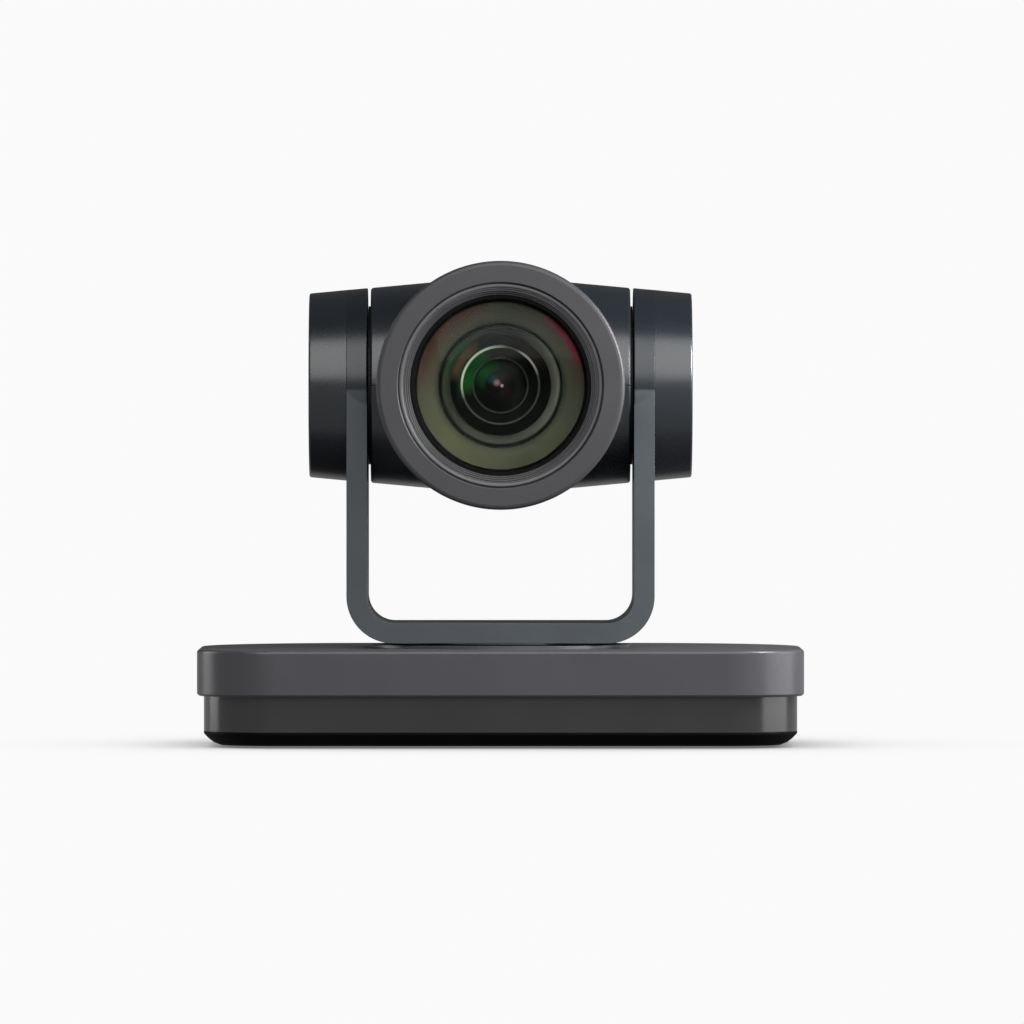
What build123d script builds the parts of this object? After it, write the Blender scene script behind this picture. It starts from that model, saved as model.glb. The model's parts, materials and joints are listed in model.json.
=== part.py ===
from build123d import *
import math
import os

# Pan, tilt and zoom camera: a wide low base, a U-shaped yoke that turns on it, and a
# drum-shaped head that tilts between the yoke's arms. Millimetres, +Z up, lens towards -Y.
# The origin is on the pan axis, at the plane that the rubber feet stand on.

# Base: overall sizes
base_width = 211.4
base_depth = 140.0
base_height = 33.8
front_corner = 27.0
back_corner = 60.0
foot_proud = 0.6

# Base: cap, window skirt and bottom pan
cap_height = 16.1
cap_wall = 2.3
cap_top_edge = 1.1
cap_low_edge = 0.7
skirt_inset = 2.4
skirt_wall = 2.0
skirt_overlap = 4.0
pan_rim = 0.8
pan_bevel = ((5.9, 0.0), (3.5, 0.9), (1.5, 2.4), (0.0, 4.0))
pan_cavity_inset = 1.2
pan_sheet = 1.5
pad_radius = 45.5
pad_height = 1.0

# Base: rear bay and connector panel
bay_half_width = 75.0
bay_face = 52.0
bay_height = 23.4
bay_wall = 1.6
socket_proud = 0.6
socket_gap = 0.1

# Base: circuit board
board_thick = 1.6
board_low = 6.0
board_left = -72.0
board_right = 38.0
board_front = 32.5

# Base: feet, screws and holes in the bottom pan
foot_radius = 7.0
foot_x = 66.0
foot_y = 34.0
foot_stud = 2.0
tripod_radius = 3.175
tripod_boss = 5.5
tripod_length = 5.0
bracket_hole = 1.5
bracket_boss = 3.2
bracket_length = 4.0
bracket_x = 40.0
bracket_y = 45.0
case_screw_x = 86.0
case_screw_y = 36.0
case_screw_radius = 1.5
case_screw_head = 2.9

# Pan drive
shaft_radius = 10.0
shaft_bore = 7.0
shaft_low = 8.5
shaft_spigot = 9.0
shaft_spigot_length = 3.0
shaft_clearance = 0.6
running_fit = 0.05
bearing_wall = 4.0
bearing_height = 4.0
hub_radius = 17.0
plate_low = 17.0
plate_thick = 2.0
plate_x = 104.0
plate_y = 62.0
post_radius = 3.0
post_x = 47.0
post_y = 26.0
pan_module = 1.0
pan_gear_teeth = 54
pan_pinion_teeth = 14
pan_face_width = 4.0
gear_lift = 1.3
pan_motor_radius = 14.0
pan_motor_height = 13.6
pan_motor_shaft = 2.5
backlash = 0.16

# Yoke
tilt_height = 125.7
arm_inner = 46.6
arm_thick = 7.2
arm_lap = 0.06
bar_low = 35.6
bar_thick = 7.0
yoke_inner_corner = 9.4
collar_radius = 37.0
collar_room = 2.0
collar_gap = 0.25
channel_half = 18.0
channel_depth = 4.0
cover_half = 22.0
cover_thick = 1.4
cover_gap = 0.05
hub_clearance = 1.2
cover_screw_head = 1.5
cover_screw_shank = 0.8
cover_screw_bite = 3.0
cover_screw_y = 20.0
cover_screw_drops = (65.0, 37.0)
cable_half = 6.0
cable_thick = 0.6
cable_seat = 2.2
cable_drop = 3.4
cable_tail = 6.0

# Drum: one taper runs over the head and the yoke's two ends
drum_radius = 38.4
drum_taper = 0.09
drum_crown = 20.0
drum_half_length = 67.1
drum_gap = 1.1
drum_edge = 0.6
cup_wall = 2.2
cup_floor = 2.5
lip_gap = 0.05
lip_wall = 0.6
lip_length = 1.2
lid_thick = 2.1
lid_wall = 1.5
lid_gap = 0.05

# Tilt drive
hub_rim = 6.5
hub_inner = 42.3
hub_gap = 0.3
hub_fit = 0.05
tilt_shaft = 6.0
tilt_shaft_bore = 4.0
tilt_shaft_end = 61.5
tilt_bearing_radius = 9.0
tilt_bearing_start = 48.0
tilt_bearing_length = 5.0
tilt_boss = 11.0
tilt_boss_end = 54.6
motor_gap = 0.66
boss_gap = 0.5
tilt_gear_teeth = 42
tilt_pinion_teeth = 14
tilt_gear_start = 57.0
tilt_face_width = 3.5
tilt_motor_length = 6.9
tilt_motor_shaft = 1.5

# Head
head_wall = 2.2
seam_gap = 0.12
nose_front = 46.0
nose_back = 12.0
nose_front_radius = 41.8
nose_back_radius = 36.5
ring_front = 52.0
ring_back = 44.6
ring_radius = 43.3
ring_bore = 35.7
ring_edge = 1.5
ring_sleeve_back = 38.0
sleeve_gap = 0.25
bead_bore = 34.0
bead_front = 51.3
bead_back = 46.0
hood_bore = 31.6
hood_front = 50.7
hood_back = 43.0
hood_ribs = 3
screw_boss = 3.2
screw_x = 35.0
screw_front = -18.0
screw_back = 20.0
screw_well = 2.3
screw_head_radius = 2.2
screw_shank = 1.1
screw_head_drop = 12.0
vent_count = 9
vent_pitch = 5.0
vent_width = 1.7
vent_low = 9.0
vent_high = 21.0

# Lens
glass_radius = 29.4
glass_front = 47.6
glass_edge = 43.6
glass_back = 39.0
glass_hollow = 1.6
barrel_front = 48.0
step_gap = 4.5
barrel_clearance = 2.1
barrel_radius = 24.0
barrel_wall = 2.0
rod_radius = 1.0
rod_length = 43.5
rod_end_gap = 3.0
rod_seat = 2.0
rod_inset = 2.1
cam_gap = 0.3
cam_wall = 2.0
cam_to_back = 42.0
cam_length = 22.0
cam_turn = 80.0
cam_slot = 1.3
variator_to_back = 39.0
variator_travel = 10.0
cell_gap = 0.4
cell_wall = 4.3
cell_length = 6.0
lens_recess = 1.2
cam_pin = 1.0
iris_to_back = 18.5
iris_thick = 2.5
iris_hole = 8.0
focus_to_back = 15.2
focus_travel = 5.0
focus_length = 4.5
chassis_half = 6.0
chassis_wall = 4.0
sensor_board_thick = 1.2

# Heights and places that follow from the sizes above
cap_low = base_height - cap_height
pan_low = foot_proud
pan_floor = pan_low + pan_sheet
bevel_top = pan_low + pan_bevel[-1][1]
pan_top = bevel_top + pan_rim
pad_top = base_height + pad_height
half_width = base_width / 2
half_depth = base_depth / 2
cap_ceiling = base_height - cap_wall
bay_top = pan_floor + bay_height
plate_top = plate_low + plate_thick
board_top = board_low + board_thick
board_back = bay_face - bay_wall - socket_gap
gear_low = plate_top + gear_lift
pan_centre_distance = pan_module * (pan_gear_teeth + pan_pinion_teeth) / 2
arm_outer = arm_inner + arm_thick
bar_top = bar_low + bar_thick
head_half = arm_inner - drum_gap
cup_inside = arm_inner + cup_floor
lid_seat = drum_half_length - lid_thick
bearing_radius = shaft_radius + bearing_wall
collar_inner = shaft_radius + collar_room
socket_face = bay_face + socket_proud


def turned(points, axis):
    """A solid of revolution from points given as (along, radius)."""
    if axis == Axis.Z:
        face = make_face(Polyline(*[(r, 0, a) for a, r in points], close=True))
    elif axis == Axis.X:
        face = make_face(Polyline(*[(a, r, 0) for a, r in points], close=True))
    else:
        face = make_face(Polyline(*[(r, a, 0) for a, r in points], close=True))
    return revolve(face, axis=axis)


def rod(radius, start, end, axis="Z", at=(0, 0)):
    """A round bar along one axis, from start to end. at is its place on the other two axes."""
    length = end - start
    middle = (start + end) / 2
    if axis == "Z":
        return Pos(at[0], at[1], middle) * Cylinder(radius, length)
    if axis == "X":
        return Pos(middle, at[0], at[1]) * Rot(0, 90, 0) * Cylinder(radius, length)
    return Pos(at[0], middle, at[1]) * Rot(-90, 0, 0) * Cylinder(radius, length)


def pipe(radius, bore, start, end, axis="Z", at=(0, 0)):
    return rod(radius, start, end, axis, at) - rod(bore, start, end, axis, at)


def block(x, y, z):
    """A box from three (low, high) pairs."""
    size = [pair[1] - pair[0] for pair in (x, y, z)]
    middle = [(pair[0] + pair[1]) / 2 for pair in (x, y, z)]
    return Pos(*middle) * Box(*size)


def drum_r(x):
    """Outside radius of the tapered drum at a distance x from the middle."""
    return drum_radius - drum_taper * abs(x)


# What fits the tapered drum: the arms' width, the tilt hubs and the room for the tilt motor
arm_half_depth = drum_r(arm_outer) - arm_lap
hub_disc = drum_r(head_half) - hub_rim
cover_reach = hub_disc + hub_clearance
motor_room = drum_r(cup_inside + tilt_motor_length) - cup_wall - motor_gap
tilt_motor_radius = (motor_room - tilt_boss - boss_gap) / 2
tilt_centre_distance = tilt_boss + boss_gap + tilt_motor_radius
tilt_module = 2 * tilt_centre_distance / (tilt_gear_teeth + tilt_pinion_teeth)

# What fits the lens barrel: its back end clears the drum's wall, and the inner pieces sit in it
barrel_back = math.sqrt((drum_radius - head_wall) ** 2 - barrel_radius ** 2) - barrel_clearance
rod_end = barrel_back - rod_end_gap
rod_start = rod_end - rod_length
barrel_step = step_gap - rod_start
cam_start = barrel_back - cam_to_back
variator_start = barrel_back - variator_to_back
iris_start = barrel_back - iris_to_back
focus_start = barrel_back - focus_to_back
cam_radius = barrel_radius - barrel_wall - cam_gap
cell_radius = cam_radius - cam_wall - cell_gap
cell_bore = cell_radius - cell_wall
rod_circle = cell_radius - rod_inset
chassis_ring = barrel_radius + chassis_wall


def plan(inset):
    """The base's plan, with tight front corners and wide back corners, shrunk by inset."""
    sheet = Rectangle(base_width - 2 * inset, base_depth - 2 * inset)
    corners = sheet.vertices().sort_by(Axis.Y)
    sheet = fillet(corners[:2], front_corner - inset)
    corners = [v for v in sheet.vertices() if v.Y > half_depth - inset - 0.01]
    return fillet(corners, back_corner - inset)


def prism(inset, low, high):
    return Pos(0, 0, low) * extrude(plan(inset), high - low)


def tapered_prism(low_inset, low, high_inset, high):
    return loft([Pos(0, 0, low) * plan(low_inset), Pos(0, 0, high) * plan(high_inset)])


def spur_gear(teeth, module, width, bore, turn=0.0):
    """An involute spur gear on Z, from z = 0 to its width, with one tooth at the angle turn."""
    pitch_r = module * teeth / 2
    base_r = pitch_r * math.cos(math.radians(20))
    tip_r = pitch_r + module
    root_r = pitch_r - 1.25 * module
    steps = 5

    def roll(r):
        return math.tan(math.acos(base_r / r)) - math.acos(base_r / r)

    half_tooth = math.pi / (2 * teeth) - backlash / (2 * pitch_r)
    start_r = max(base_r, root_r)
    radii = [start_r + (tip_r - start_r) * i / (steps - 1) for i in range(steps)]
    half_angles = [half_tooth + roll(pitch_r) - roll(r) for r in radii]
    flank = list(zip(radii, half_angles))
    if base_r > root_r:
        flank = [(root_r, half_angles[0])] + flank
    outline = []
    for tooth in range(teeth):
        centre = math.radians(turn) + 2 * math.pi * tooth / teeth
        rising = [(r, centre - a) for r, a in flank]
        falling = [(r, centre + a) for r, a in reversed(flank)]
        outline += [(r * math.cos(a), r * math.sin(a)) for r, a in rising + falling]
    gear = extrude(make_face(Polyline(*outline, close=True)), width)
    if bore:
        gear -= rod(bore, 0, width)
    return gear


# ---------------------------------------------------------------- base

socket_low = board_top
power_x, rocker_x, lan_x, usb_x, hdmi_x = 63.0, 47.0, 28.0, 9.0, -9.0
sdi_x, serial_x, dial_x, audio_x = -27.0, -42.0, -55.0, -67.0
lan_size = (16.0, 13.4, 15.5)
usb_size = (13.2, 5.8, 13.0)
hdmi_size = (15.0, 5.6, 11.5)
sdi_block = (14.0, 14.0, 12.0)
sdi_radius = 4.8
sdi_reach = 8.5
serial_radius = 4.7
audio_radius = 3.1
audio_bore = 1.8
audio_length = 12.0
power_radius = 4.6
power_bore = 2.9
power_pin = 1.0
round_depth = 12.0
row_height = board_top + 6.4
rocker_half_x = 3.6
rocker_half_z = 5.4
rocker_room = 0.5
rocker_frame_x = 5.6
rocker_frame_z = 7.8
rocker_flange = 1.2
rocker_rim = 1.2
rocker_depth = 9.0
rocker_pivot = 1.0
rocker_throw = 8.0
rocker_height = 15.5
dial_radius = 3.6
dial_body = 5.2
dial_depth = 6.0


def base_top_cover():
    cover = prism(0, cap_low, base_height)
    top_edges = cover.faces().sort_by(Axis.Z)[-1].edges()
    cover = fillet(top_edges, cap_top_edge)
    low_edges = cover.faces().sort_by(Axis.Z)[0].edges()
    cover = chamfer(low_edges, cap_low_edge)
    cover -= prism(cap_wall, cap_low, cap_ceiling)
    cover += rod(pad_radius, base_height - 0.5, pad_top)
    cover -= rod(shaft_radius + shaft_clearance, cap_ceiling - 1, pad_top)
    bay = ((-bay_half_width, bay_half_width), (bay_face, half_depth + 1), (cap_low - 1, bay_top))
    cover -= block(*bay)
    return cover


def base_skirt():
    skirt = prism(skirt_inset, pan_top, cap_low + skirt_overlap)
    skirt -= prism(skirt_inset + skirt_wall, pan_top, cap_low + skirt_overlap)
    edge = bay_half_width + bay_wall + socket_gap
    skirt -= block((-edge, edge), (bay_face - bay_wall, half_depth), (pan_top, base_height))
    return skirt


def screw_places(x, y):
    return [(i * x, j * y) for i in (-1, 1) for j in (-1, 1)]


def base_bottom_pan():
    tray = prism(skirt_inset, bevel_top, pan_top)
    for low, high in zip(pan_bevel, pan_bevel[1:]):
        tray += tapered_prism(skirt_inset + low[0], pan_low + low[1], skirt_inset + high[0], pan_low + high[1])
    cavity_inset = skirt_inset + pan_bevel[0][0] + pan_cavity_inset
    tray -= tapered_prism(cavity_inset, pan_floor, skirt_inset + skirt_wall, pan_top)
    for x, y in screw_places(bracket_x, bracket_y):
        tray += rod(bracket_boss, pan_floor - 0.2, pan_low + bracket_length, at=(x, y))
        tray -= rod(bracket_hole, pan_low, pan_low + bracket_length, at=(x, y))
    for x, y in screw_places(foot_x, foot_y):
        tray -= rod(foot_stud, pan_low, pan_floor, at=(x, y))
    for x, y in screw_places(case_screw_x, case_screw_y):
        tray -= rod(case_screw_radius, pan_low, pan_floor, at=(x, y))
        tray -= rod(case_screw_head, pan_low, pan_low + 0.8, at=(x, y))
    tray -= rod(tripod_boss - 1.5, pan_low, pan_floor)
    return tray


def rubber_feet():
    feet = []
    for x, y in screw_places(foot_x, foot_y):
        pad = rod(foot_radius, 0, foot_proud, at=(x, y))
        pad = fillet(pad.faces().sort_by(Axis.Z)[0].edges(), 0.3)
        feet.append(pad + rod(foot_stud, foot_proud, pan_floor, at=(x, y)))
    return feet


def base_screws():
    screws = []
    for x, y in screw_places(case_screw_x, case_screw_y):
        head = rod(case_screw_head, pan_low + 0.1, pan_low + 0.8, at=(x, y))
        head += rod(case_screw_radius, pan_low + 0.8, pan_floor + 6, at=(x, y))
        screws.append(head - Pos(x, y, pan_low) * Box(2.8, 0.7, 0.9) - Pos(x, y, pan_low) * Box(0.7, 2.8, 0.9))
    return screws


def tripod_insert():
    insert = rod(tripod_boss - 1.5, pan_low, pan_floor)
    insert += rod(tripod_boss, pan_floor, pan_low + tripod_length)
    return insert - rod(tripod_radius, pan_low, pan_low + tripod_length)


def socket_hole(x, width, low, high, gap=socket_gap):
    half = width / 2 + gap
    return block((x - half, x + half), (bay_face - 2 * bay_wall, bay_face + 1), (low - gap, high + gap))


def connector_panel():
    outer = bay_half_width + bay_wall
    tub = block((-outer, outer), (bay_face - bay_wall, half_depth), (pan_top, bay_top + bay_wall))
    tub -= block((-bay_half_width, bay_half_width), (bay_face, half_depth + 1), (pan_top - 1, bay_top))
    tub &= prism(skirt_inset, pan_top, bay_top + bay_wall)
    tub -= socket_hole(lan_x, lan_size[0], socket_low, socket_low + lan_size[1])
    tub -= socket_hole(usb_x, usb_size[0], socket_low, socket_low + usb_size[1])
    tub -= socket_hole(hdmi_x, hdmi_size[0], socket_low, socket_low + hdmi_size[1])
    tub -= socket_hole(rocker_x, 2 * rocker_frame_x - 1.6, rocker_height - rocker_frame_z + 0.8,
                       rocker_height + rocker_frame_z - 0.8)
    holes = ((sdi_x, sdi_radius), (serial_x, serial_radius), (audio_x, audio_radius),
             (power_x, power_radius), (dial_x, dial_radius + 0.3))
    for x, radius in holes:
        tub -= rod(radius + socket_gap, bay_face - 2 * bay_wall, bay_face + 1, "Y", (x, row_height))
    return tub


def main_board():
    board = block((board_left, board_right), (board_front, board_back), (board_low, board_top))
    chips = ((-50, 10, 1.4), (-8, 12, 1.8), (20, 8, 1.0))
    for x, size, height in chips:
        spot = ((x - size / 2, x + size / 2), (board_front + 0.5, board_front + 2.5))
        board += block(*spot, (board_top, board_top + height))
    return board


def box_socket(x, size, tongue):
    """A shell with a mouth at the bay and a flat tongue inside it."""
    width, height, depth = size
    low, high = socket_low, socket_low + height
    back = socket_face - depth
    body = block((x - width / 2, x + width / 2), (back, socket_face), (low, high))
    mouth = ((x - width / 2 + 0.5, x + width / 2 - 0.5), (back + 1.5, socket_face + 1), (low + 0.5, high - 0.5))
    body -= block(*mouth)
    body += block((x - tongue / 2, x + tongue / 2), (back + 1, socket_face - 1), (low + 1.9, high - 1.9))
    return body


def lan_socket():
    width, height, depth = lan_size
    low, high = socket_low, socket_low + height
    back = socket_face - depth
    body = block((lan_x - width / 2, lan_x + width / 2), (back, socket_face), (low, high))
    body -= block((lan_x - 5.9, lan_x + 5.9), (back + 2, socket_face + 1), (low + 4.0, high - 1.4))
    body -= block((lan_x - 3.0, lan_x + 3.0), (back + 2, socket_face + 1), (low + 1.4, low + 4.1))
    return body


def round_socket(x, radius, bore, pin):
    front = socket_face
    back = bay_face - round_depth
    body = rod(radius, back, front, "Y", (x, row_height))
    body -= rod(bore, back + 2, front + 1, "Y", (x, row_height))
    if pin:
        body += rod(pin, back + 1, front - 0.8, "Y", (x, row_height))
    return body


def sdi_socket():
    half = sdi_block[0] / 2
    inside = bay_face - bay_wall
    body = block((sdi_x - half, sdi_x + half), (inside - sdi_block[2], inside - 0.05),
                 (board_top, board_top + sdi_block[1]))
    body += rod(sdi_radius, inside - 2, bay_face + sdi_reach, "Y", (sdi_x, row_height))
    body += rod(1.0, sdi_x - sdi_radius - 1, sdi_x + sdi_radius + 1, "X", (bay_face + sdi_reach - 2.2, row_height))
    body -= rod(sdi_radius - 1, bay_face - 2, bay_face + sdi_reach + 1, "Y", (sdi_x, row_height))
    body += pipe(2.4, 0.7, bay_face - 3, bay_face + sdi_reach - 3, "Y", (sdi_x, row_height))
    return body


def serial_socket():
    body = round_socket(serial_x, serial_radius, serial_radius - 0.8, 0)
    back = bay_face - round_depth
    body += block((serial_x - 1.1, serial_x + 1.1), (back + 1, socket_face - 1), (row_height - 1.7, row_height - 0.3))
    for turn in range(8):
        angle = math.radians(22.5 + 45 * turn)
        spot = (serial_x + 2.7 * math.cos(angle), row_height + 2.7 * math.sin(angle))
        body += rod(0.35, back + 1, socket_face - 2, "Y", spot)
    return body


def rocker_frame():
    low_y = bay_face - rocker_depth
    at_x = (rocker_x - rocker_frame_x, rocker_x + rocker_frame_x)
    at_z = (rocker_height - rocker_frame_z, rocker_height + rocker_frame_z)
    frame = block(at_x, (bay_face, bay_face + rocker_flange), at_z)
    inner_x = (at_x[0] + 0.8, at_x[1] - 0.8)
    inner_z = (at_z[0] + 0.8, at_z[1] - 0.8)
    frame += block(inner_x, (low_y, bay_face), inner_z)
    room_x = rocker_half_x + 0.25
    room_z = rocker_half_z + rocker_room
    frame -= block((rocker_x - room_x, rocker_x + room_x), (low_y + rocker_rim, bay_face + 2),
                   (rocker_height - room_z, rocker_height + room_z))
    pin_hole = rocker_pivot + running_fit
    reach = rocker_half_x + 1.0
    frame -= rod(pin_hole, rocker_x - reach, rocker_x + reach, "X", (bay_face - 1.5, rocker_height))
    return frame


def power_rocker():
    """A two-sided rocker key, tipped to the end of its throw."""
    front = 3.4
    dish = 12.0
    key = block((-rocker_half_x, rocker_half_x), (-3.0, front), (-rocker_half_z, rocker_half_z))
    key -= rod(dish, -rocker_half_x - 1, rocker_half_x + 1, "X", (front + dish - 1.3, 0))
    key += rod(rocker_pivot, -rocker_half_x - 0.9, rocker_half_x + 0.9, "X")
    return Pos(rocker_x, bay_face - 1.5, rocker_height) * Rot(rocker_throw, 0, 0) * key


def dial_housing():
    back = bay_face - bay_wall - dial_depth
    body = block((dial_x - dial_body, dial_x + dial_body), (back, bay_face - bay_wall - 0.05),
                 (row_height - dial_body, row_height + dial_body))
    return body - rod(dial_radius + running_fit, back + 1.5, bay_face + 1, "Y", (dial_x, row_height))


def format_dial():
    back = bay_face - bay_wall - dial_depth + 1.7
    knob = rod(dial_radius, back, bay_face + 0.5, "Y", (dial_x, row_height))
    knob -= block((dial_x - 0.5, dial_x + 0.5), (bay_face - 1.0, bay_face + 1),
                  (row_height - dial_radius + 0.8, row_height + dial_radius + 1))
    return knob


def pan_bracket():
    plate = block((-plate_x / 2, plate_x / 2), (-plate_y / 2, plate_y / 2), (plate_low, plate_top))
    plate = fillet(plate.edges().filter_by(Axis.Z), 6)
    for x, y in screw_places(post_x, post_y):
        plate += rod(post_radius, pan_floor, plate_low + 0.5, at=(x, y))
    hub_low = plate_top - 2 * bearing_height - 3.0
    plate += rod(hub_radius, hub_low, plate_top)
    plate -= rod(bearing_radius, hub_low, plate_top)
    plate += pipe(bearing_radius + 0.2, bearing_radius - 1.5, hub_low + bearing_height, plate_top - bearing_height)
    plate -= rod(pan_motor_shaft + 1.5, plate_low, plate_top, at=(pan_centre_distance, 0))
    return plate


def pan_bearings():
    low = plate_top - 2 * bearing_height - 3.0
    rings = []
    for start in (low, plate_top - bearing_height):
        ring = pipe(bearing_radius, shaft_radius + running_fit, start, start + bearing_height)
        groove = pipe(bearing_radius - 1.3, shaft_radius + 1.3, start, start + 0.4)
        rings.append(ring - groove)
    return rings


def pan_motor():
    top = plate_low
    low = top - pan_motor_height
    at = (pan_centre_distance, 0)
    case = rod(pan_motor_radius, low, top, at=at)
    case = chamfer(case.faces().sort_by(Axis.Z)[0].edges(), 0.8)
    for side in (-1, 1):
        case += block((at[0] - 3, at[0] + 3), (side * 16 - 3, side * 16 + 3), (top - 1.2, top))
    return case - rod(pan_motor_shaft + running_fit, low + 1.5, top, at=at)


def pan_pinion():
    at = (pan_centre_distance, 0)
    gear = spur_gear(pan_pinion_teeth, pan_module, pan_face_width, 0, 180 + 180 / pan_pinion_teeth)
    pinion = Pos(at[0], at[1], gear_low) * gear
    return pinion + rod(pan_motor_shaft, plate_low - pan_motor_height + 2, gear_low + 1, at=at)


def infrared_receiver():
    y = -half_depth + skirt_inset + skirt_wall + 0.6
    body = block((-34, -28), (y + 1.5, y + 4.5), (5.0, 13.0))
    return body + rod(2.4, y, y + 2, "Y", (-31, 9.5))


def status_light():
    y = -half_depth + skirt_inset + skirt_wall + 0.4
    pipe_body = block((28, 34), (y, y + 6), (8.5, 10.5))
    return pipe_body + block((29, 33), (y + 5, y + 8), (6.5, 12.5))


# ---------------------------------------------------------------- yoke

def u_region(offset, top, below=None):
    """The room between the yoke's arms up to the height top, in the XZ plane, grown sideways by
    offset and downwards by below, or by offset where below is left out."""
    below = offset if below is None else below
    x = arm_inner + offset
    z = bar_top - below
    sheet = Plane.XZ * make_face(Polyline((-x, z), (x, z), (x, top), (-x, top), close=True))
    corners = [v for v in sheet.vertices() if abs(v.Z - z) < 0.01]
    return fillet(corners, yoke_inner_corner + below)


def u_band(inside, outside, half, top):
    """A U-shaped strip that follows the yoke, between two offsets, half deep to each side."""
    outer = extrude(u_region(outside, top), half, both=True)
    return outer - extrude(u_region(inside, top + 1), half + 1, both=True)


def cup(side):
    """The drum as deep as one arm is thick, at the arm's top end."""
    edge = drum_edge / 2
    points = [(arm_inner, 0), (arm_inner, drum_r(arm_inner) - edge), (arm_inner + edge, drum_r(arm_inner + edge)),
              (arm_outer, drum_r(arm_outer)), (arm_outer, 0)]
    solid = turned([(side * a, r) for a, r in points], Axis.X)
    return Pos(0, 0, tilt_height) * solid


def cup_room(side):
    points = [(cup_inside, 0), (cup_inside, drum_r(cup_inside) - cup_wall),
              (lid_seat, drum_r(lid_seat) - cup_wall),
              (lid_seat, drum_r(drum_half_length) - lid_wall),
              (drum_half_length + 1, drum_r(drum_half_length) - lid_wall), (drum_half_length + 1, 0)]
    return Pos(0, 0, tilt_height) * turned([(side * a, r) for a, r in points], Axis.X)


def end_shell(side):
    """The drum's outer end, from an arm to the lid's seat, with a lip that centres it in the arm."""
    end_r = drum_r(drum_half_length)
    points = [(arm_outer, 0), (arm_outer, drum_r(arm_outer)), (drum_half_length - drum_edge, end_r),
              (drum_half_length - 0.2, end_r - 0.2), (drum_half_length, end_r - drum_edge), (drum_half_length, 0)]
    shell = Pos(0, 0, tilt_height) * turned([(side * a, r) for a, r in points], Axis.X) - cup_room(side)
    lip_r = drum_r(arm_outer) - cup_wall - lip_gap
    points = [(arm_outer - lip_length, lip_r - lip_wall), (arm_outer - lip_length, lip_r), (arm_outer, lip_r),
              (arm_outer, lip_r + 0.5), (arm_outer + 1.5, lip_r + 0.3), (arm_outer + 1.5, lip_r - lip_wall)]
    return shell + Pos(0, 0, tilt_height) * turned([(side * a, r) for a, r in points], Axis.X)


def yoke_frame():
    outside = extrude(u_region(arm_thick, tilt_height, bar_thick), arm_half_depth, both=True)
    frame = outside - extrude(u_region(0, tilt_height + 1), arm_half_depth + 1, both=True)
    for side in (-1, 1):
        frame += cup(side)
    frame -= u_band(-1, channel_depth, channel_half, tilt_height - cover_reach)
    frame -= u_band(-1, cover_thick, cover_half, tilt_height - cover_reach)
    at = (0, tilt_height)
    for side in (-1, 1):
        frame -= cup_room(side)
        ends = sorted((side * arm_inner, side * tilt_boss_end))
        frame += rod(tilt_boss, *ends, "X", at)
        frame -= rod(tilt_shaft + 1, *ends, "X", at)
        ends = sorted((side * tilt_bearing_start, side * (tilt_boss_end + 1)))
        frame -= rod(tilt_bearing_radius, *ends, "X", at)
    frame -= rod(shaft_spigot, bar_low, bar_top - channel_depth + 0.1)
    frame -= cover_screw_rods(cover_screw_shank, cover_thick - 0.1, cover_thick + cover_screw_bite)
    return frame


def cover_screw_rods(radius, inside, outside):
    """Round bars at the cover's screws, between two depths in the arms."""
    bars = []
    for side in (-1, 1):
        ends = sorted((side * (arm_inner + inside), side * (arm_inner + outside)))
        for z in (tilt_height - drop for drop in cover_screw_drops):
            for y in (-cover_screw_y, cover_screw_y):
                bars.append(rod(radius, *ends, "X", (y, z)))
    return bars


def yoke_inner_cover():
    top = tilt_height - cover_reach - cover_gap
    cover = u_band(0, cover_thick - cover_gap, cover_half - cover_gap, top)
    return cover - cover_screw_rods(cover_screw_head + cover_gap, -1, cover_thick)


def yoke_cover_screws():
    heads = cover_screw_rods(cover_screw_head, cover_gap, cover_thick)
    shanks = cover_screw_rods(cover_screw_shank, cover_thick - 0.1, cover_thick + cover_screw_bite)
    slots = cover_screw_rods(cover_screw_shank * 0.7, -1, cover_gap + 0.5)
    return [head + shank - slot for head, shank, slot in zip(heads, shanks, slots)]


def turntable_collar():
    low = pad_top + collar_gap
    ring = pipe(collar_radius, collar_inner, low, bar_low)
    return ring


def pan_shaft():
    shaft = rod(shaft_radius, shaft_low, bar_low)
    shaft += rod(shaft_spigot, bar_low, bar_low + shaft_spigot_length)
    shaft += pipe(shaft_radius + 1.2, shaft_radius - 1, gear_low + pan_face_width, gear_low + pan_face_width + 1.2)
    return shaft - rod(shaft_bore, shaft_low, bar_low + shaft_spigot_length)


def pan_gear():
    gear = spur_gear(pan_gear_teeth, pan_module, pan_face_width, shaft_radius)
    for turn in range(6):
        angle = math.radians(60 * turn)
        gear -= rod(3.2, 0, pan_face_width, at=(18 * math.cos(angle), 18 * math.sin(angle)))
    return Pos(0, 0, gear_low) * gear


def end_lid(side):
    outer = drum_r(drum_half_length) - lid_wall - lid_gap
    points = [(lid_seat, 0), (lid_seat, outer), (drum_half_length - 0.4, outer),
              (drum_half_length, outer - 0.4), (drum_half_length, 0)]
    return Pos(0, 0, tilt_height) * turned([(side * a, r) for a, r in points], Axis.X)


def tilt_bearings():
    rings = []
    for side in (-1, 1):
        ends = sorted((side * tilt_bearing_start, side * (tilt_bearing_start + tilt_bearing_length)))
        rings.append(pipe(tilt_bearing_radius, tilt_shaft + running_fit, *ends, "X", (0, tilt_height)))
    return rings


def tilt_motor():
    at = (0, tilt_height + tilt_centre_distance)
    end = cup_inside + tilt_motor_length
    case = rod(tilt_motor_radius, cup_inside, end, "X", at)
    return case - rod(tilt_motor_shaft + running_fit, cup_inside + 1, end, "X", at)


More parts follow.
